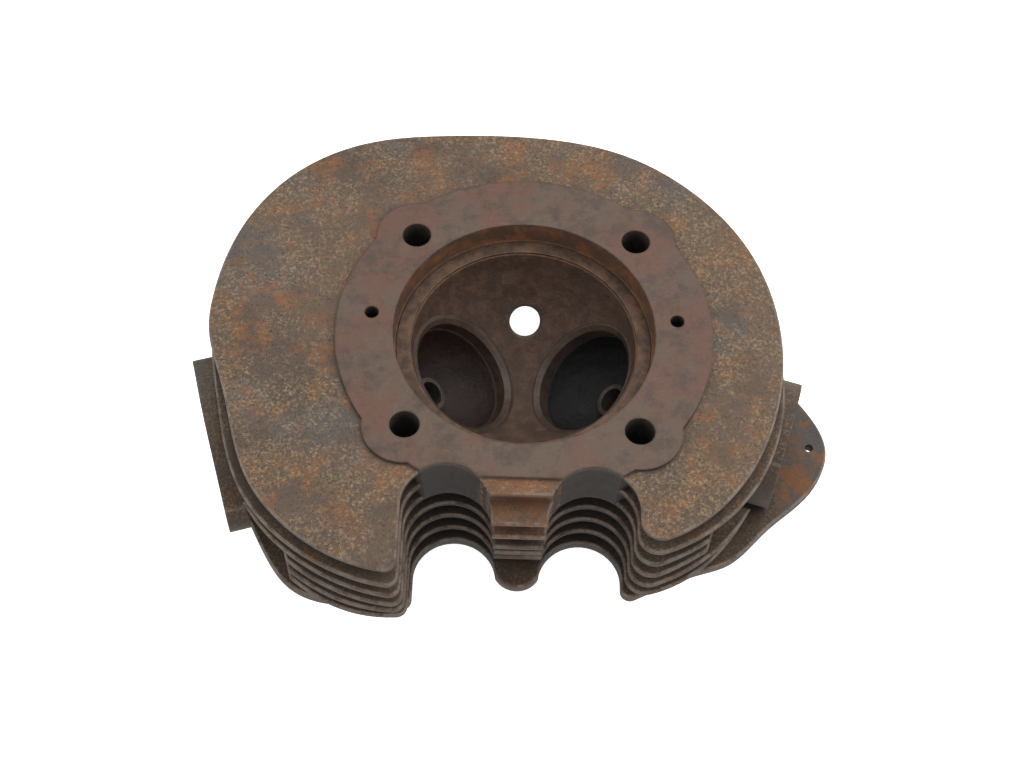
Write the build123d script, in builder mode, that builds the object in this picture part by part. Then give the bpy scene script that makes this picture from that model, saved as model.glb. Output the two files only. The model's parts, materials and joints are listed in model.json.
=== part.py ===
"""Bare air-cooled overhead-valve cylinder head with its seats, guides and joint ring.

Units are millimetres. The head lies with its gasket face up: +Z leaves the gasket face
along the cylinder axis, and the rocker side looks down. X runs from the inlet port (-X)
to the exhaust port (+X). The pushrods pass through the two scallops on the -Y side.
The origin is the centre of the cylinder bore on the gasket face.
"""
import os
from math import cos, radians, sin, sqrt

from build123d import *

# ---- gasket face, studs and spigot recess
pad_height = 1.5
pad_radius = 66.7
pad_front = 59.0
stud_spacing = 80.0
stud_hole_radius = 5.2
stud_boss_radius = 14.8
stud_pillar_radius = 10.0
stud_pillar_stand = 3.0
face_drilling_radius = 2.5
face_drilling_depth = 12.0
face_drilling_x = 54.15
face_drilling_y = 5.5
recess_radius = 46.3
recess_depth = 9.2

# ---- combustion chamber
mouth_radius = 40.2
chamber_radius = 40.5

# ---- fins, counted from the gasket face down to the base plate
fin_pitch = 8.3
fin_thickness = 2.6
fin_edge_chamfer = 0.7
wing_tip_radius = {"left": 4.0, "right": 7.0}
fin_growth = (0.0, 2.8, 2.6, 2.4, 2.0, 1.2)
fin_tip_left = (94.0, 95.8, 95.6, 94.9, 93.0, 90.9)
fin_tip_right = (81.6, 82.9, 83.6, 84.2, 83.4, 81.5)
fin_front = (64.5, 71.5, 72.2, 72.0, 70.0, 67.7)
fin_rear = (
    (90.6, 10), (80, 43), (61, 66.7), (36, 82.8), (5.6, 89.5), (-32, 89.4), (-61, 84.6),
    (-86, 70), (-103.3, 45.5), (-111.2, 14), (-111.2, -2),
)
plate_rim = (
    (57, -70.6), (64.5, -67.5), (75.3, -63.6), (90.7, -49.1), (107, -34), (114.9, -16), (106, 5),
    (96, 18), (82, 36), (60, 62), (33, 79.5), (-11, 87), (-54, 82), (-88, 59), (-104, 31),
    (-108, 1), (-104, -35), (-91.4, -63.3), (-80, -77.6), (-65.5, -82.6), (-57, -82.6),
)
plate_tip = {"left": 86.6, "right": 80.4}
plate_tip_radius = {"left": 4.0, "right": 3.5}
base_thickness = 4.6
core_radius = 50.0
neck_front = 62.5

# ---- pushrod scallops
scallop_radius = 14.6
scallop_x_face = 25.1
scallop_y_face = -69.0
scallop_x_base = 22.4
scallop_y_base = -72.0
fin_scallop_clearance = 0.3
tongue_radius = 8.7
tongue_centre_y = -66.8

# ---- valves, seats and guides
valve_tilt = 40.0
seat_outer = {"inlet": 23.8, "exhaust": 22.6}
seat_throat = {"inlet": 20.8, "exhaust": 20.4}
seat_height = 6.0
seat_bevel = 1.6
seat_pocket_lead = 8.0
bowl_radius = 20.2
bowl_depth = 5.0
guide_radius = 6.5
guide_bore = 4.8
guide_start = 19.5
guide_length = 46.5
spring_face = 49.0
spring_boss_radius = 23.0
spring_pocket_radius = 21.8
circlip_pocket_radius = 9.2
circlip_pocket_depth = 1.6
circlip_thickness = 1.3
circlip_outer = 8.7
circlip_groove = 0.6
circlip_opening = 4.0
cup_thickness = 1.6
cup_radius = 20.5
cup_wall = 1.5
cup_height = 5.0
fit_clearance = 0.1

# ---- ports
port_splay = {"inlet": 17.2, "exhaust": 16.3}
port_centre_y = 3.2
port_z = -34.0
port_reach = {"inlet": 116.4, "exhaust": 99.8}
port_radius = {"inlet": 15.0, "exhaust": 15.5}
port_tube_radius = {"inlet": 19.8, "exhaust": 21.8}
port_passage_start = 26.0
flange_thickness = 7.5
flange_gap = 9.0
first_gapped_fin = 2
gap_back = {"inlet": 38.0, "exhaust": 28.0}
gap_front = {
    "inlet": (0.0, 0.0, 34.0, 60.0, 60.0, 60.0),
    "exhaust": (0.0, 0.0, 60.0, 60.0, 28.0, 26.0),
}
inlet_flange_radius = 20.5
inlet_stud_spacing = 53.0
inlet_lobe_radius = 8.8
inlet_thread_radius = 3.4
inlet_thread_depth = 14.0
exhaust_flange_radius = 23.3
exhaust_socket_radius = 17.0
exhaust_socket_depth = 16.0

# ---- spark plug
plug_tilt = 36.0
plug_x = 0.8
plug_y = 30.8
plug_z = -40.3
plug_hole_radius = 6.3
plug_reach = 12.7
plug_well_radius = 13.0

# ---- rocker pedestal and steady lug
pedestal_width = 48.0
pedestal_front = -40.0
pedestal_back = 22.0
pedestal_z = -86.0
pedestal_corner = 8.0
pedestal_thread_radius = 3.4
pedestal_thread_depth = 16.0
pedestal_spacing_x = 32.0
pedestal_spacing_y = 44.0
lug_hole_radius = 1.6
lug_hole_x = 108.5
lug_hole_y = -15.2

# ---- spigot joint ring, lying in a shallow seat at the foot of the recess
ring_seat_radius = 45.7
ring_thickness = 0.9
ring_width = 5.0
ring_edge = 0.2

# ---- worked out from the values above
fin_tops = [-pad_height - fin_pitch * level for level in range(len(fin_growth))]
base_top = -pad_height - fin_pitch * len(fin_growth)
base_bottom = base_top - base_thickness
boss_bottom = fin_tops[2] - fin_thickness / 2
ring_foot = -recess_depth - ring_thickness
chamber_z = sqrt(chamber_radius**2 - mouth_radius**2) + ring_foot
far = 200.0
side_sign = {"inlet": -1, "exhaust": 1}


def valve_direction(port):
    """Unit vector along a valve, from the chamber out to the rocker side."""
    return Vector(side_sign[port] * sin(radians(valve_tilt)), 0, -cos(radians(valve_tilt)))


def seat_plane(port, along=0.0):
    """Plane across a valve, `along` millimetres beyond the chamber wall, its normal outward."""
    from_centre = sqrt(chamber_radius**2 - seat_outer[port] ** 2) + along
    origin = Vector(0, 0, chamber_z) + valve_direction(port) * from_centre
    return Plane(origin=origin, x_dir=(0, 1, 0), z_dir=valve_direction(port))


def port_plane(port, reach):
    """Upright plane across a port, `reach` millimetres out from the meeting point of the ports."""
    splay = radians(port_splay[port])
    outward = Vector(side_sign[port] * cos(splay), -sin(splay), 0)
    origin = Vector(0, port_centre_y, port_z) + outward * reach
    return Plane(origin=origin, x_dir=Vector(0, 0, 1).cross(outward), z_dir=outward)


plug_direction = Vector(0, sin(radians(plug_tilt)), -cos(radians(plug_tilt)))
plug_middle = Vector(plug_x, plug_y, plug_z)


def plug_plane(along):
    """Plane across the plug hole, `along` millimetres from the middle of its thread."""
    return Plane(origin=plug_middle + plug_direction * along, x_dir=(1, 0, 0), z_dir=plug_direction)


def scallop_centre(z):
    """Distance of a scallop's centre from the middle, and its Y, at height z."""
    share = z / base_top
    x = scallop_x_face + (scallop_x_base - scallop_x_face) * share
    y = scallop_y_face + (scallop_y_base - scallop_y_face) * share
    return x, y


def cut_pushrod_bay(z, front, clearance=0.0):
    """Take the two scallops and all that lies ahead of them out of the sketch in hand.

    The scallops proper lean and are cut later; the clearance keeps this cut off them.
    """
    x, y = scallop_centre(z)
    cut_radius = scallop_radius + clearance
    with Locations((-x, y), (x, y)):
        Circle(cut_radius, mode=Mode.SUBTRACT)
    with Locations((-x, y - far / 2), (x, y - far / 2)):
        Rectangle(2 * cut_radius, far, mode=Mode.SUBTRACT)
    with Locations((0, front - far / 2)):
        Rectangle(2 * x, far, mode=Mode.SUBTRACT)


def cut_port_gap(port, level):
    """Take the room for a spanner, between a fin and a port flange, out of the sketch in hand."""
    inner = port_plane(port, port_reach[port] - flange_thickness - flange_gap)
    forward = inner.x_dir * side_sign[port] * -1
    out = inner.z_dir * far
    front = inner.origin + forward * gap_front[port][level]
    back = inner.origin - forward * gap_back[port]
    corners = [(corner.X, corner.Y) for corner in (back, front, front + out, back + out)]
    Polygon(*corners, align=None, mode=Mode.SUBTRACT)


def round_wing_tips(outline, radius):
    """Round the foremost corner of each wing of a sketch."""
    for wing, side in (("left", -1), ("right", 1)):
        corners = outline.vertices().filter_by(lambda corner: corner.X * side > 0)
        fillet(corners.sort_by(Axis.Y)[0], radius[wing])


def fin_blade(level):
    """One cooling fin: its outline, the pushrod bay cut out of it, and its rounded edges."""
    top = fin_tops[level]
    grow = fin_growth[level]
    scallop_x, scallop_y = scallop_centre(top)
    bay = scallop_x + scallop_radius + fin_scallop_clearance
    with BuildPart() as blade:
        with BuildSketch(Plane.XY.offset(top - fin_thickness)) as outline:
            with BuildLine():
                rim = Spline(
                    (bay, -fin_tip_right[level]), (56, -75.5 - grow * 0.5),
                    (73 + grow * 0.7, -60 - grow * 0.7), (88.7 + grow, -26), *fin_rear,
                    (-104 - grow, -25), (-92 - grow, -60.5 - grow * 0.4),
                    (-70, -83.8 - grow * 0.7), (-bay, -fin_tip_left[level]),
                )
                Line(rim @ 1, rim @ 0)
            make_face()
            cut_pushrod_bay(top, -fin_front[level], fin_scallop_clearance)
            round_wing_tips(outline, wing_tip_radius)
            if level >= first_gapped_fin:
                for port in side_sign:
                    cut_port_gap(port, level)
        extrude(amount=fin_thickness)
        chamfer(blade.edges().filter_by(Axis.Z, reverse=True), fin_edge_chamfer)
    return blade.part


def base_plate():
    """The rocker-side plate: fins' outline at the back, lobes in front and the steady lug."""
    scallop_x, scallop_y = scallop_centre(base_top)
    bay = scallop_x + scallop_radius
    with BuildPart() as plate:
        with BuildSketch(Plane.XY.offset(base_bottom)) as outline:
            with BuildLine():
                rim = Spline((bay, -plate_tip["right"]), *plate_rim, (-bay, -plate_tip["left"]))
                Line(rim @ 1, rim @ 0)
            make_face()
            cut_pushrod_bay(base_top, tongue_centre_y)
            round_wing_tips(outline, plate_tip_radius)
            with Locations((0, tongue_centre_y)):
                Circle(tongue_radius)
        extrude(amount=base_thickness)
        chamfer(plate.edges().filter_by(Axis.Z, reverse=True), fin_edge_chamfer)
    return plate.part


def along_valve(port, radius, start, end, mode=Mode.ADD):
    """A round bar on a valve's axis between two distances from the chamber wall."""
    with BuildSketch(seat_plane(port, start)) as section:
        Circle(radius)
    extrude(section.sketch, amount=end - start, mode=mode)


def along_port(port, radius, start, end, mode=Mode.ADD):
    """A round bar on a port's axis between two distances from the ports' meeting point."""
    with BuildSketch(port_plane(port, start)) as section:
        Circle(radius)
    extrude(section.sketch, amount=end - start, mode=mode)


blades = [fin_blade(level) for level in range(len(fin_tops))]
plate = base_plate()
stud_points = GridLocations(stud_spacing, stud_spacing, 2, 2)

# ---- head casting
with BuildPart() as head_casting:
    add(blades)
    add(plate)

    # gasket pad, and the thick neck under it down to the third fin
    with BuildSketch(Plane.XY.offset(boss_bottom)):
        Circle(pad_radius)
        with stud_points:
            Circle(stud_boss_radius)
        with Locations((0, -pad_front - far / 2)):
            Rectangle(far, far, mode=Mode.SUBTRACT)
    extrude(amount=-boss_bottom)
    with BuildSketch(Plane.XY.offset(boss_bottom)):
        with Locations((0, -neck_front / 2)):
            Rectangle(scallop_x_face, neck_front)
    extrude(amount=fin_tops[0] - boss_bottom)

    # core round the chamber, and a pillar round each stud
    with BuildSketch(Plane.XY.offset(base_bottom)):
        Circle(core_radius)
    extrude(amount=boss_bottom - base_bottom)
    with BuildSketch(Plane.XY.offset(base_bottom - stud_pillar_stand)):
        with stud_points:
            Circle(stud_pillar_radius)
    extrude(amount=boss_bottom - base_bottom + stud_pillar_stand)

    # rocker pedestal between the valves
    with BuildSketch(Plane.XY.offset(pedestal_z)) as pedestal:
        with Locations((0, (pedestal_front + pedestal_back) / 2)):
            RectangleRounded(pedestal_width, pedestal_back - pedestal_front, pedestal_corner)
    extrude(amount=base_top - pedestal_z)

    # spring bosses, port tubes and port flanges
    for port in side_sign:
        along_valve(port, spring_boss_radius, bowl_depth + bowl_radius, spring_face)
        along_port(port, port_tube_radius[port], core_radius / 2, port_reach[port])
    with BuildSketch(port_plane("inlet", port_reach["inlet"] - flange_thickness)):
        Circle(inlet_flange_radius)
        with Locations((-inlet_stud_spacing / 2, 0), (inlet_stud_spacing / 2, 0)):
            Circle(inlet_lobe_radius)
        make_hull()
    extrude(amount=flange_thickness)
    with BuildSketch(port_plane("exhaust", port_reach["exhaust"] - flange_thickness)):
        Circle(exhaust_flange_radius)
        with Locations((0, base_bottom - port_z - far / 2)):
            Rectangle(far, far, mode=Mode.SUBTRACT)
    extrude(amount=flange_thickness)

    # pushrod scallops through the neck: their axes lean with the pushrods
    for side in (-1, 1):
        lean = Vector(
            side * (scallop_x_base - scallop_x_face), scallop_y_base - scallop_y_face, base_top
        )
        with BuildSketch(Plane.XY):
            with Locations((side * scallop_x_face, scallop_y_face)):
                Circle(scallop_radius)
        extrude(amount=lean.length * (base_bottom / base_top), dir=lean, mode=Mode.SUBTRACT)

    # spigot recess and hemispherical chamber
    with BuildSketch(Plane.XY):
        Circle(recess_radius)
    extrude(amount=-recess_depth, mode=Mode.SUBTRACT)
    with BuildSketch(Plane.XY):
        Circle(ring_seat_radius)
    extrude(amount=ring_foot, mode=Mode.SUBTRACT)
    with Locations((0, 0, chamber_z)):
        Sphere(chamber_radius, mode=Mode.SUBTRACT)

    # valve bowls, port passages, seat pockets and guide holes
    for port in side_sign:
        bowl = seat_plane(port, bowl_depth).origin
        with Locations(bowl):
            Sphere(bowl_radius, mode=Mode.SUBTRACT)
        along_valve(port, seat_outer[port], -seat_pocket_lead, seat_height, mode=Mode.SUBTRACT)
        along_port(port, port_radius[port], port_passage_start, far, mode=Mode.SUBTRACT)
        along_valve(port, guide_radius, bowl_depth, far, mode=Mode.SUBTRACT)
        along_valve(port, spring_pocket_radius, spring_face, far, mode=Mode.SUBTRACT)
        along_valve(
            port, circlip_pocket_radius, spring_face - circlip_pocket_depth, far,
            mode=Mode.SUBTRACT,
        )

    # socket for the exhaust pipe
    exhaust_reach = port_reach["exhaust"]
    along_port(
        "exhaust", exhaust_socket_radius, exhaust_reach - exhaust_socket_depth, exhaust_reach,
        mode=Mode.SUBTRACT,
    )

    # plug hole, and the well for its spanner
    with BuildSketch(plug_plane(-plug_reach)):
        Circle(plug_hole_radius)
    extrude(amount=2 * plug_reach, mode=Mode.SUBTRACT)
    with BuildSketch(plug_plane(plug_reach / 2)):
        Circle(plug_well_radius)
    extrude(amount=far, mode=Mode.SUBTRACT)

    # stud holes, drillings and tapped holes
    with stud_points:
        Cylinder(stud_hole_radius, 2 * far, mode=Mode.SUBTRACT)
    with BuildSketch(Plane.XY):
        with Locations((-face_drilling_x, face_drilling_y), (face_drilling_x, face_drilling_y)):
            Circle(face_drilling_radius)
    extrude(amount=-face_drilling_depth, mode=Mode.SUBTRACT)
    with BuildSketch(port_plane("inlet", port_reach["inlet"])):
        with GridLocations(inlet_stud_spacing, 1, 2, 1):
            Circle(inlet_thread_radius)
    extrude(amount=-inlet_thread_depth, mode=Mode.SUBTRACT)
    with BuildSketch(Plane.XY.offset(pedestal_z)):
        with Locations((0, (pedestal_front + pedestal_back) / 2)):
            with GridLocations(pedestal_spacing_x, pedestal_spacing_y, 2, 2):
                Circle(pedestal_thread_radius)
    extrude(amount=pedestal_thread_depth, mode=Mode.SUBTRACT)
    with Locations((lug_hole_x, lug_hole_y, base_bottom)):
        Cylinder(lug_hole_radius, 2 * far, mode=Mode.SUBTRACT)
head_casting.part.label = "head_casting"

# ---- joint ring in its seat, its face level with the foot of the spigot recess
with BuildPart() as spigot_joint_ring:
    with BuildSketch(Plane.XY.offset(ring_foot)):
        Circle(ring_seat_radius - fit_clearance)
        Circle(ring_seat_radius - fit_clearance - ring_width, mode=Mode.SUBTRACT)
    extrude(amount=ring_thickness)
    chamfer(spigot_joint_ring.faces().sort_by(Axis.Z)[-1].edges(), ring_edge)
spigot_joint_ring.part.label = "spigot_joint_ring"

pieces = [head_casting.part, spigot_joint_ring.part]

# ---- what each valve needs: seat insert, guide, circlip and lower spring cup
clip_start = spring_face - circlip_pocket_depth
clip_inner = guide_radius - circlip_groove
for port in side_sign:
    throat = seat_throat[port]
    with BuildPart() as valve_seat:
        along_valve(port, seat_outer[port], 0, seat_height)
        along_valve(port, throat, 0, seat_height, mode=Mode.SUBTRACT)
        inner_rims = valve_seat.edges().filter_by(GeomType.CIRCLE).sort_by(SortBy.RADIUS)[:2]
        chamfer(inner_rims.sort_by(Axis.Z)[-1], seat_bevel)
    valve_seat.part.label = f"{port}_valve_seat"

    with BuildPart() as valve_guide:
        along_valve(port, guide_radius, guide_start, guide_start + guide_length)
        along_valve(port, guide_bore, guide_start, guide_start + guide_length, mode=Mode.SUBTRACT)
        along_valve(port, 2 * guide_radius, clip_start, clip_start + circlip_thickness, mode=Mode.SUBTRACT)
        along_valve(port, clip_inner, clip_start, clip_start + circlip_thickness)
        along_valve(port, guide_bore, clip_start, clip_start + circlip_thickness, mode=Mode.SUBTRACT)
    valve_guide.part.label = f"{port}_valve_guide"

    with BuildPart() as guide_circlip:
        along_valve(port, circlip_outer, clip_start, clip_start + circlip_thickness)
        along_valve(port, clip_inner, clip_start, clip_start + circlip_thickness, mode=Mode.SUBTRACT)
        with BuildSketch(seat_plane(port, clip_start)) as opening:
            with Locations((0, circlip_outer)):
                Rectangle(circlip_opening, 2 * circlip_outer)
        extrude(opening.sketch, amount=circlip_thickness, mode=Mode.SUBTRACT)
    guide_circlip.part.label = f"{port}_guide_circlip"

    with BuildPart() as spring_cup:
        along_valve(port, cup_radius, spring_face, spring_face + cup_height)
        along_valve(
            port, cup_radius - cup_wall, spring_face + cup_thickness, spring_face + cup_height,
            mode=Mode.SUBTRACT,
        )
        along_valve(
            port, guide_radius + fit_clearance, spring_face, spring_face + cup_height,
            mode=Mode.SUBTRACT,
        )
    spring_cup.part.label = f"{port}_spring_cup"
    pieces += [valve_seat.part, valve_guide.part, guide_circlip.part, spring_cup.part]

os.makedirs("parts", exist_ok=True)
for piece in pieces:
    export_step(piece, f"parts/{piece.label}.step")
    print(piece.label, len(piece.solids()), round(piece.volume))
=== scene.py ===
"""Looks of a bare air-cooled cylinder head lying with its gasket face up.

Units are metres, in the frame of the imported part: the origin is the centre of the cylinder
bore on the gasket face, +Z leaves that face, and +X points to the exhaust port.
"""
import json
import math

import bmesh
import bpy
from mathutils import Matrix, Vector


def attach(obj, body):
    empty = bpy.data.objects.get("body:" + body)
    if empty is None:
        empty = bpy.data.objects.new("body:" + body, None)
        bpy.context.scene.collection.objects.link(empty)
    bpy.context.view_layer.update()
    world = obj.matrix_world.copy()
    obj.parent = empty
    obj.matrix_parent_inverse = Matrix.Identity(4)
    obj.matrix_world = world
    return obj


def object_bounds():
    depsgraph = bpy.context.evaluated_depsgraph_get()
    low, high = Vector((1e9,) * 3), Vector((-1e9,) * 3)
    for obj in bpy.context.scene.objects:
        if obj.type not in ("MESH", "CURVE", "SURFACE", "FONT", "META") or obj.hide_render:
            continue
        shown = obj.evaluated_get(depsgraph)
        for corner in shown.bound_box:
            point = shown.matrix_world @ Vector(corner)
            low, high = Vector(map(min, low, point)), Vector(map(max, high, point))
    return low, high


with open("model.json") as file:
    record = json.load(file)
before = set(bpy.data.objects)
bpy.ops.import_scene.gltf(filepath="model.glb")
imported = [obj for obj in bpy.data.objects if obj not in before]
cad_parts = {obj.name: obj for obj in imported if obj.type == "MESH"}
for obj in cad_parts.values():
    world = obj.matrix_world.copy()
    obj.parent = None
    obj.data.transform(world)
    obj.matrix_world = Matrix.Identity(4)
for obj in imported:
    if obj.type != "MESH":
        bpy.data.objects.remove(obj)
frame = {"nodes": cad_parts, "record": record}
cad_low, cad_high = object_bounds()
nodes = frame["nodes"]
mounts = {mount["name"]: mount for mount in frame["record"]["mounts"]}

mm = 0.001

# ---- shapes of the casting that its finish follows
chamber_centre = Vector((0, 0, -5.2)) * mm
chamber_radius = 40.9 * mm
recess_radius = 46.5 * mm
recess_foot = -10.3 * mm
skin = 0.25 * mm
seat_outer = {"inlet": 23.8 * mm, "exhaust": 22.6 * mm}
bowl_radius = 20.6 * mm
bowl_depth = 5.0 * mm
scallop_radius = 15.0 * mm
scallop_place = Vector((25.1, -69.0, 0)) * mm
scallop_lean = Vector((-2.7, -3.0, -51.3)).normalized()
fin_top = -1.5 * mm
fin_pitch = 8.3 * mm
fin_chamfer = 0.75 * mm
port_wall = {"inlet": 15.0 * mm, "exhaust": 17.0 * mm}
port_start = 20 * mm
lug_x = 92 * mm
lug_top = -45 * mm
neck_y = -54 * mm
neck_half_width = 12 * mm
neck_foot = -20 * mm
neck_fade = 4 * mm
# heights where the painted shade on the lower fins begins and is full
low_shade_start = -4 * mm
low_shade_full = -14 * mm
fade = 6 * mm
port_mouth = {"inlet": "inlet_flange_studs", "exhaust": "exhaust_socket"}

# ---- camera and lights
camera_place = Vector((-0.0082, -0.3136, 0.4699))
camera_forward = Vector((0.00783, 0.52637, -0.85022))
camera_up = Vector((-0.03062, 0.84997, 0.52593))
camera_lens = 56.35
camera_sensor = 36.0


def mount_place(name):
    """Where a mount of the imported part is."""
    return Vector(mounts[name]["pos_m"])


def mount_axis(name):
    """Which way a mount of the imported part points."""
    return Vector(mounts[name]["axis"])


class Finish:
    """A procedural material in the making: every method adds nodes and gives back a socket."""

    def __init__(self, name):
        self.material = bpy.data.materials.new(name)
        self.material.use_nodes = True
        self.tree = self.material.node_tree
        self.shader = self.tree.nodes["Principled BSDF"]
        self.place = self.node("TexCoord").outputs["Object"]

    def node(self, kind, sockets=None, **settings):
        """A new node with its settings, and its sockets given a value or joined to another node."""
        made = self.tree.nodes.new("ShaderNode" + kind)
        for setting, value in settings.items():
            setattr(made, setting, value)
        for socket, value in (sockets or {}).items():
            self.feed(made.inputs[socket], value)
        return made

    def feed(self, socket, value):
        """Give a socket a value, or join it to the output of another node."""
        if isinstance(value, bpy.types.NodeSocket):
            self.tree.links.new(value, socket)
        else:
            socket.default_value = value

    def math(self, operation, first, second=0.0):
        return self.node("Math", {0: first, 1: second}, operation=operation).outputs[0]

    def vector(self, operation, first, second=(0, 0, 0), output="Vector"):
        made = self.node("VectorMath", {0: first, 1: second}, operation=operation)
        return made.outputs[output]

    def both(self, first, second):
        return self.math("MULTIPLY", first, second)

    def either(self, first, second):
        return self.math("MAXIMUM", first, second)

    def outside(self, mask):
        return self.math("SUBTRACT", 1.0, mask)

    def rise(self, value, low, high):
        """0 at low and 1 at high, with a soft start and end. Low may be the larger one."""
        made = self.node(
            "MapRange", {"Value": value, "From Min": low, "From Max": high},
            interpolation_type="SMOOTHSTEP",
        )
        return made.outputs["Result"]

    def inside(self, distance, wall):
        """1 up to a wall, and 0 from a skin's depth behind it."""
        return self.rise(distance, wall + skin, wall)

    def cloud(self, size, detail=4.0, roughness=0.6, shift=0.0, stretch=(1, 1, 1)):
        """Cloudy pattern from 0 to 1, with lumps about `size` metres across."""
        moved = self.node(
            "Mapping", {"Vector": self.place, "Location": (shift, shift * 0.7, -shift), "Scale": stretch}
        )
        made = self.node(
            "TexNoise",
            {"Vector": moved.outputs[0], "Scale": 1 / size, "Detail": detail, "Roughness": roughness},
        )
        return made.outputs["Fac"]

    def part(self, axis):
        """One coordinate of the place: X, Y or Z."""
        return self.node("SeparateXYZ", {"Vector": self.place}).outputs[axis]

    def from_point(self, point):
        """Distance from a point."""
        return self.vector("DISTANCE", self.place, point, "Value")

    def from_axis(self, point, direction):
        """Distance from an endless line."""
        away = self.vector("SUBTRACT", self.place, point)
        return self.vector("LENGTH", self.vector("CROSS_PRODUCT", away, direction), output="Value")

    def along(self, point, direction):
        """Distance along a line, counted from a point on it."""
        away = self.vector("SUBTRACT", self.place, point)
        return self.vector("DOT_PRODUCT", away, direction, "Value")

    def facing_up(self, low, high):
        """1 where the surface faces up."""
        normal = self.node("NewGeometry").outputs["True Normal"]
        height = self.node("SeparateXYZ", {"Vector": normal}).outputs["Z"]
        return self.rise(height, low, high)

    def rounded(self, radius):
        """The normal of the surface with its edges rounded off."""
        return self.node("Bevel", {"Radius": radius}, samples=5).outputs["Normal"]

    def worn_edges(self, radius):
        """1 along the edges, where handling has rubbed the surface."""
        true_normal = self.node("NewGeometry").outputs["True Normal"]
        turned = self.vector("DOT_PRODUCT", self.rounded(radius), true_normal, "Value")
        return self.rise(turned, 0.99, 0.86)

    def open_to_air(self, distance):
        """1 out in the open and 0 deep between walls."""
        return self.node("AmbientOcclusion", {"Distance": distance}, samples=6).outputs["AO"]

    def paint(self, under, over, mask):
        """One colour laid over another where the mask is 1."""
        made = self.node("Mix", {0: mask, 6: under, 7: over}, data_type="RGBA")
        return made.outputs[2]

    def blend(self, under, over, mask):
        """One number going over to another where the mask is 1."""
        return self.node("Mix", {0: mask, 2: under, 3: over}, data_type="FLOAT").outputs[0]

    def bump(self, height, depth, normal=None):
        """Relief of a given depth in metres."""
        sockets = {"Height": height, "Distance": depth, "Strength": 1.0}
        if normal is not None:
            sockets["Normal"] = normal
        return self.node("Bump", sockets).outputs["Normal"]

    def surface(self, color, roughness, normal, metallic=0.0):
        """Join the finished colour, roughness and normal to the shader."""
        self.feed(self.shader.inputs["Base Color"], color)
        self.feed(self.shader.inputs["Roughness"], roughness)
        self.feed(self.shader.inputs["Metallic"], metallic)
        self.feed(self.shader.inputs["Normal"], normal)
        return self.material


def tone(red, green, blue):
    """A colour as a socket takes it."""
    return (red, green, blue, 1.0)


# ---- colours of old iron
brown = tone(0.128, 0.086, 0.058)
dull_brown = tone(0.088, 0.063, 0.046)
tan_grit = tone(0.34, 0.235, 0.130)
orange_rust = tone(0.245, 0.098, 0.036)
# deep brown of the painted shade on walls and lower fins
wall_shade_brown = tone(0.046, 0.029, 0.020)
blue_grey = tone(0.092, 0.090, 0.088)
pit = tone(0.026, 0.018, 0.014)
machined = tone(0.106, 0.067, 0.045)
machined_red = tone(0.120, 0.057, 0.036)
machined_dark = tone(0.062, 0.040, 0.029)
burnt = tone(0.068, 0.037, 0.024)
burnt_pale = tone(0.118, 0.066, 0.042)
carbon = tone(0.010, 0.0095, 0.009)
oily_red = tone(0.029, 0.0145, 0.0105)
shade_grey = tone(0.020, 0.016, 0.013)
rubbed = tone(0.27, 0.225, 0.185)
thread_grey = tone(0.10, 0.09, 0.08)


def rusty_skin(finish):
    """Colour of the raw casting: brown scale with rust, tan grit, grey patches and pits."""
    wide = finish.cloud(60 * mm, 3.0, 0.5)
    patches = finish.cloud(18 * mm, 6.0, 0.65, shift=0.31)
    rust = finish.cloud(12 * mm, 7.0, 0.72, shift=0.83)
    grey = finish.cloud(38 * mm, 5.0, 0.6, shift=0.57)
    grit = finish.cloud(1.5 * mm, 6.0, 0.85, shift=0.19)
    specks = finish.cloud(1.0 * mm, 5.0, 0.85, shift=0.66)
    more_grit = finish.both(finish.rise(finish.part("X"), 0.0, 90 * mm), 0.07)
    patches = finish.math("ADD", patches, more_grit)
    fine = finish.cloud(0.8 * mm, 4.0, 0.8, shift=0.43)
    color = finish.paint(dull_brown, brown, finish.rise(wide, 0.36, 0.60))
    color = finish.paint(color, blue_grey, finish.both(finish.rise(grey, 0.52, 0.64), 0.8))
    color = finish.paint(color, brown, finish.both(finish.rise(grit, 0.48, 0.60), 0.8))
    color = finish.paint(
        color, orange_rust,
        finish.both(finish.rise(rust, 0.48, 0.66), finish.rise(grit, 0.38, 0.56)),
    )
    color = finish.paint(
        color, tan_grit,
        finish.both(finish.rise(patches, 0.38, 0.58), finish.rise(specks, 0.49, 0.61)),
    )
    color = finish.paint(color, pit, finish.both(finish.rise(fine, 0.46, 0.34), 0.85))
    relief = finish.blend(grit, fine, 0.35)
    return color, relief


def painted_shade_and_lug_rust(finish, color):
    """Painted shade on the walls, on the lower fins and deep between them, and rust on the steady lug."""
    x, z = finish.part("X"), finish.part("Z")
    air = finish.open_to_air(14 * mm)
    level = finish.facing_up(0.3, 0.8)
    # painted shade: faces that do not face up are darkened to deep brown
    color = finish.paint(color, wall_shade_brown, finish.both(finish.outside(level), 0.78))
    # painted shade: darker towards the bottom, over the lower fins
    color = finish.paint(color, wall_shade_brown, finish.both(finish.rise(z, low_shade_start, low_shade_full), 0.45))
    # painted shade deep between the fins, from an ambient occlusion mask
    color = finish.paint(color, shade_grey, finish.both(finish.rise(air, 0.70, 0.20), 0.92))
    on_lug = finish.both(finish.rise(x, lug_x, lug_x + fade), finish.rise(z, lug_top, lug_top - fade))
    on_lug = finish.both(on_lug, level)
    lug_rust = finish.cloud(14 * mm, 7.0, 0.75, shift=0.77)
    lug_color = finish.paint(blue_grey, orange_rust, finish.rise(lug_rust, 0.50, 0.60))
    return finish.paint(color, lug_color, finish.both(on_lug, 0.75))


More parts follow.
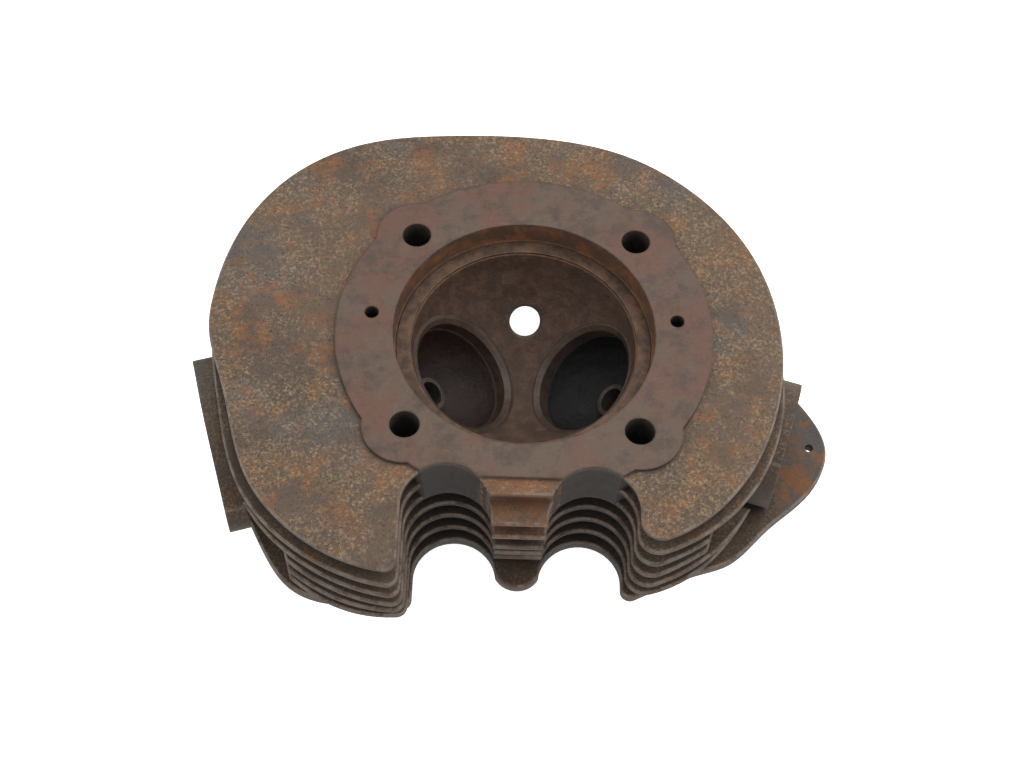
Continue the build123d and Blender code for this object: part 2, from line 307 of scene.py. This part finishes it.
def rusty_neck(finish, color):
    """Orange rust down the front of the neck, between the scallops."""
    x, y, z = (finish.part(axis) for axis in "XYZ")
    on_neck = finish.both(
        finish.rise(y, neck_y, neck_y - neck_fade / 2), finish.rise(z, neck_foot - fade, neck_foot)
    )
    across = finish.math("ABSOLUTE", x)
    on_neck = finish.both(on_neck, finish.rise(across, neck_half_width + neck_fade, neck_half_width))
    on_neck = finish.both(on_neck, finish.rise(z, -skin, -2 * skin))
    rust = finish.rise(finish.cloud(8 * mm, 6.0, 0.75, shift=0.93), 0.34, 0.60)
    return finish.paint(color, orange_rust, finish.both(on_neck, finish.both(rust, 0.5)))


def rubbed_edges(finish, color):
    """Paler metal on the chamfer along the top of each fin and on every sharp corner."""
    below = finish.math("SUBTRACT", fin_top, finish.part("Z"))
    below_top = finish.math("FRACT", finish.math("DIVIDE", below, fin_pitch))
    share = fin_chamfer / fin_pitch
    chamfer = finish.both(finish.facing_up(0.5, 0.6), finish.facing_up(0.9, 0.8))
    chamfer = finish.both(chamfer, finish.rise(below_top, share + 0.02, share))
    edges = finish.either(finish.worn_edges(0.9 * mm), chamfer)
    patchy = finish.rise(finish.cloud(7 * mm, 4.0, 0.7, shift=0.71), 0.38, 0.60)
    return finish.paint(color, rubbed, finish.both(finish.both(edges, patchy), 0.5))


def shaded_scallops(finish, color):
    """The two pushrod scallops, with painted shade near black on their walls."""
    x, y, z = (finish.part(axis) for axis in "XYZ")
    folded = finish.node("CombineXYZ", {"X": finish.math("ABSOLUTE", x), "Y": y, "Z": z}).outputs[0]
    away = finish.vector("SUBTRACT", folded, scallop_place)
    away = finish.vector("CROSS_PRODUCT", away, scallop_lean)
    from_scallop = finish.vector("LENGTH", away, output="Value")
    in_scallop = finish.both(
        finish.inside(from_scallop, scallop_radius), finish.rise(z, fin_top, fin_top - skin)
    )
    in_scallop = finish.both(in_scallop, finish.facing_up(0.75, 0.55))
    # painted shade on the scallop walls
    return finish.paint(color, shade_grey, finish.both(in_scallop, 0.92))


def machined_pad(finish, lines):
    """Colour of the gasket pad: machined, stained and scratched."""
    tint = finish.cloud(22 * mm, 5.0, 0.6, shift=0.36)
    stains = finish.cloud(9 * mm, 7.0, 0.75, shift=0.39)
    specks = finish.cloud(1.1 * mm, 3.0, 0.6, shift=0.92)
    color = finish.paint(machined, machined_red, finish.rise(tint, 0.44, 0.58))
    color = finish.paint(color, machined_dark, finish.both(finish.rise(stains, 0.46, 0.64), 0.85))
    color = finish.paint(color, rubbed, finish.both(finish.rise(lines, 0.29, 0.40), 0.22))
    return finish.paint(color, pit, finish.both(finish.rise(specks, 0.36, 0.26), 0.5))


def burnt_chamber(finish, color, in_chamber, in_recess):
    """The chamber, browned by heat, and the rusty wall of the spigot recess."""
    mottle = finish.cloud(6 * mm, 6.0, 0.7, shift=0.27)
    pits = finish.cloud(1.3 * mm, 4.0, 0.7, shift=0.52)
    roof = finish.paint(burnt, burnt_pale, finish.rise(mottle, 0.40, 0.64))
    roof = finish.paint(roof, pit, finish.rise(pits, 0.42, 0.28))
    wall = finish.paint(burnt_pale, orange_rust, finish.rise(mottle, 0.44, 0.66))
    color = finish.paint(color, roof, in_chamber)
    return finish.paint(color, wall, in_recess)


def sooty_port(finish, port, in_chamber):
    """1 on the walls of a port's passage and of its bowl."""
    place, out = mount_place(port_mouth[port]), mount_axis(port_mouth[port])
    wall = port_wall[port]
    in_tube = finish.both(
        finish.rise(finish.from_axis(place, out), wall + skin, wall + skin / 2),
        finish.rise(finish.along((0, 0, 0), out), port_start, port_start + 1 * mm),
    )
    guide = mount_axis(f"{port}_guide_bore")
    from_centre = math.sqrt(chamber_radius**2 - seat_outer[port] ** 2) + bowl_depth
    in_bowl = finish.inside(finish.from_point(chamber_centre - guide * from_centre), bowl_radius)
    return finish.both(finish.either(in_tube, in_bowl), finish.outside(in_chamber))


def cast_iron():
    """The casting: rusty outside, machined on its pad, burnt in the chamber, sooty in the ports."""
    finish = Finish("cast_iron")
    z = finish.part("Z")
    color, relief = rusty_skin(finish)
    color = painted_shade_and_lug_rust(finish, color)
    color = rusty_neck(finish, color)
    color = rubbed_edges(finish, color)
    color = shaded_scallops(finish, color)
    rough = finish.blend(0.86, 0.66, finish.cloud(9 * mm, shift=0.22))

    # gasket pad
    on_pad = finish.both(finish.rise(z, -skin, -skin / 2), finish.facing_up(0.7, 0.9))
    scratches = finish.cloud(5 * mm, 6.0, 0.7, shift=0.11, stretch=(1, 7, 1))
    cross_scratches = finish.cloud(4 * mm, 6.0, 0.75, shift=0.64, stretch=(6, 1, 1))
    lines = finish.both(scratches, cross_scratches)
    color = finish.paint(color, machined_pad(finish, lines), on_pad)
    rough = finish.blend(rough, 0.62, on_pad)

    # spigot recess and chamber
    from_bore = finish.from_axis((0, 0, 0), (0, 0, 1))
    in_recess = finish.both(
        finish.inside(from_bore, recess_radius), finish.rise(z, recess_foot - skin, recess_foot)
    )
    in_recess = finish.both(in_recess, finish.rise(z, -skin / 2, -skin))
    in_chamber = finish.inside(finish.from_point(chamber_centre), chamber_radius)
    color = burnt_chamber(finish, color, in_chamber, in_recess)
    rough = finish.blend(rough, 0.55, finish.either(in_chamber, in_recess))

    # ports and bowls
    for port, soot in (("inlet", oily_red), ("exhaust", carbon)):
        sooty = sooty_port(finish, port, in_chamber)
        color = finish.paint(color, soot, sooty)
        rough = finish.blend(rough, 0.45, sooty)

    # plug hole
    near_plug = finish.from_axis(mount_place("plug_hole"), mount_axis("plug_hole"))
    plug_wall = mounts["plug_hole"]["dims"]["r_mm"] * mm
    color = finish.paint(color, thread_grey, finish.inside(near_plug, plug_wall))

    # relief: coarse sand-cast skin, near smooth where machined
    lumps = finish.cloud(9 * mm, 3.0, 0.5, shift=0.48)
    cast = finish.bump(lumps, 1.2 * mm, finish.rounded(1.1 * mm))
    cast = finish.bump(finish.both(relief, finish.outside(on_pad)), 0.7 * mm, cast)
    cast = finish.bump(finish.both(lines, on_pad), 0.10 * mm, cast)
    return finish.surface(color, rough, cast)


def turned_ring(name, dark, pale, place, axis, roughness, metallic):
    """A turned or ground ring: fine circles about its axis, with stains."""
    finish = Finish(name)
    from_line = finish.from_axis(place, axis)
    circles = finish.math("SINE", finish.math("MULTIPLY", from_line, 2 * math.pi / (0.45 * mm)))
    stain = finish.cloud(7 * mm, 6.0, 0.7, shift=0.66)
    specks = finish.cloud(1.0 * mm, 3.0, 0.6, shift=0.14)
    color = finish.paint(dark, pale, finish.rise(stain, 0.38, 0.62))
    color = finish.paint(color, pit, finish.both(finish.rise(specks, 0.40, 0.28), 0.6))
    edges = finish.worn_edges(0.3 * mm)
    color = finish.paint(color, rubbed, finish.both(edges, 0.3))
    rough = finish.blend(roughness + 0.12, roughness - 0.08, stain)
    relief = finish.bump(circles, 0.02 * mm, finish.rounded(0.25 * mm))
    relief = finish.bump(specks, 0.08 * mm, relief)
    return finish.surface(color, rough, relief, metallic)


def wear(node, material):
    """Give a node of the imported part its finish."""
    mesh = nodes[node].data
    mesh.materials.clear()
    mesh.materials.append(material)


def dress_small_pieces():
    """Finishes of the seats, guides, clips, cups and joint ring."""
    wear("spigot_joint_ring", turned_ring(
        "tarnished_copper", tone(0.054, 0.030, 0.018), tone(0.128, 0.068, 0.036),
        (0, 0, 0), (0, 0, 1), 0.5, 0.35,
    ))
    for port in ("inlet", "exhaust"):
        place, axis = mount_place(f"{port}_guide_bore"), mount_axis(f"{port}_guide_bore")
        wear(f"{port}_valve_seat", turned_ring(
            f"{port}_seat_iron", tone(0.044, 0.027, 0.019), tone(0.080, 0.052, 0.037),
            place, axis, 0.5, 0.15,
        ))
        wear(f"{port}_valve_guide", turned_ring(
            f"{port}_guide_iron", tone(0.060, 0.048, 0.040), tone(0.13, 0.105, 0.088),
            place, axis, 0.42, 0.35,
        ))
        wear(f"{port}_guide_circlip", turned_ring(
            f"{port}_clip_steel", tone(0.05, 0.045, 0.04), tone(0.12, 0.11, 0.10),
            place, axis, 0.35, 0.7,
        ))
        wear(f"{port}_spring_cup", turned_ring(
            f"{port}_cup_steel", tone(0.07, 0.055, 0.045), tone(0.14, 0.115, 0.095),
            place, axis, 0.40, 0.6,
        ))


thread_depth = 0.32
steps_per_turn = 28
coarse_pitch = 1.25 * mm


def thread_ridge(name, place, axis, wall, length, pitch, material):
    """The ridge of a tapped thread, wound along the wall of a hole from `place` along `axis`."""
    depth = thread_depth * pitch
    turns = length / pitch
    mesh = bmesh.new()
    corners = [
        mesh.verts.new((wall + depth * 0.2, 0, -pitch * 0.42)),
        mesh.verts.new((wall - depth, 0, -pitch * 0.06)),
        mesh.verts.new((wall - depth, 0, pitch * 0.06)),
        mesh.verts.new((wall + depth * 0.2, 0, pitch * 0.42)),
    ]
    section = mesh.faces.new(corners)
    bmesh.ops.spin(
        mesh, geom=[section, *section.edges, *section.verts], cent=(0, 0, 0), axis=(0, 0, 1),
        dvec=(0, 0, pitch / steps_per_turn), angle=2 * math.pi * turns,
        steps=round(steps_per_turn * turns), use_duplicate=False,
    )
    bmesh.ops.transform(
        mesh, verts=mesh.verts,
        matrix=Matrix.Translation(place) @ axis.to_track_quat("Z", "Y").to_matrix().to_4x4(),
    )
    bmesh.ops.recalc_face_normals(mesh, faces=mesh.faces)
    return finished_piece(name, mesh, material)


def finished_piece(name, mesh, material):
    """Turn a mesh into a piece of the part, riding on its one body."""
    data = bpy.data.meshes.new(name)
    mesh.to_mesh(data)
    mesh.free()
    piece = bpy.data.objects.new(name, data)
    bpy.context.scene.collection.objects.link(piece)
    data.materials.append(material)
    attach(piece, "root")
    return piece


def cut_threads():
    """Threads of the plug hole, the inlet stud holes and the rocker bolt holes."""
    steel = turned_ring(
        "thread_steel", tone(0.07, 0.055, 0.045), tone(0.15, 0.125, 0.105), (0, 0, 0), (0, 0, 1), 0.45, 0.3
    )
    plug = mounts["plug_hole"]["dims"]
    out = mount_axis("plug_hole")
    start = mount_place("plug_hole") - out * (plug["length_mm"] * 0.46) * mm
    thread_ridge(
        "plug_thread", start, out, plug["r_mm"] * mm, plug["length_mm"] * 0.9 * mm, coarse_pitch, steel
    )
    studs = mounts["inlet_flange_studs"]["dims"]
    face, out = mount_place("inlet_flange_studs"), mount_axis("inlet_flange_studs")
    across = Vector((0, 0, 1)).cross(out)
    for number, side in ((1, -1), (2, 1)):
        middle = face + across * side * studs["pcd_mm"] / 2 * mm
        thread_ridge(
            f"inlet_stud_thread_{number}", middle - out * 13 * mm, out, studs["hole_r_mm"] * mm, 12 * mm,
            coarse_pitch, steel,
        )
    bolts = mounts["rocker_bolts"]["dims"]
    face, out = mount_place("rocker_bolts"), mount_axis("rocker_bolts")
    number = 0
    for side_x in (-1, 1):
        for side_y in (-1, 1):
            number += 1
            corner = Vector((side_x * bolts["spacing_x_mm"], side_y * bolts["spacing_y_mm"], 0)) / 2 * mm
            thread_ridge(
                f"rocker_bolt_thread_{number}", face + corner - out * 14 * mm, out,
                bolts["hole_r_mm"] * mm, 13 * mm, coarse_pitch, steel,
            )


def pale_floor():
    """A plain pale table top, lit evenly."""
    finish = Finish("pale_floor")
    finish.surface(tone(0.90, 0.90, 0.90), 0.9, finish.bump(finish.cloud(3 * mm), 0.02 * mm))
    finish.shader.inputs["Emission Color"].default_value = tone(1, 1, 1)
    finish.shader.inputs["Emission Strength"].default_value = 0.9
    mesh = bmesh.new()
    bmesh.ops.create_grid(mesh, x_segments=1, y_segments=1, size=20.0)
    bmesh.ops.translate(mesh, verts=mesh.verts, vec=(0, 0, cad_low.z))
    data = bpy.data.meshes.new("floor")
    mesh.to_mesh(data)
    mesh.free()
    floor = bpy.data.objects.new("floor", data)
    bpy.context.scene.collection.objects.link(floor)
    data.materials.append(finish.material)


def soft_light(name, place, size, power):
    """A square soft box aimed at the head."""
    lamp = bpy.data.lights.new(name, "AREA")
    lamp.size = size
    lamp.energy = power
    box = bpy.data.objects.new(name, lamp)
    box.location = place
    box.rotation_mode = "QUATERNION"
    box.rotation_quaternion = (-Vector(place)).to_track_quat("-Z", "Y")
    bpy.context.scene.collection.objects.link(box)


def light_studio():
    """An even white room, one large soft box overhead and two weaker ones."""
    world = bpy.data.worlds.new("studio")
    world.use_nodes = True
    world.node_tree.nodes["Background"].inputs["Color"].default_value = tone(1, 1, 1)
    world.node_tree.nodes["Background"].inputs["Strength"].default_value = 0.62
    bpy.context.scene.world = world
    soft_light("overhead", (0.25, 0.45, 1.25), 1.0, 9.0)
    soft_light("left", (-1.1, -0.2, 0.8), 0.7, 3.0)
    soft_light("right", (1.1, -0.1, 0.8), 0.7, 4.5)
    bpy.context.scene.view_settings.view_transform = "Standard"


def place_camera():
    """The camera, above the pushrod side of the head and looking down at it."""
    lens = bpy.data.cameras.new("camera")
    lens.lens = camera_lens
    lens.sensor_width = camera_sensor
    lens.clip_start = 0.01
    camera = bpy.data.objects.new("camera", lens)
    backward = -camera_forward.normalized()
    rightward = camera_up.cross(backward).normalized()
    upward = backward.cross(rightward)
    turn = Matrix((rightward, upward, backward)).transposed().to_4x4()
    camera.matrix_world = Matrix.Translation(camera_place) @ turn
    bpy.context.scene.collection.objects.link(camera)
    bpy.context.scene.camera = camera


wear("head_casting", cast_iron())
dress_small_pieces()
cut_threads()
pale_floor()
light_studio()
place_camera()
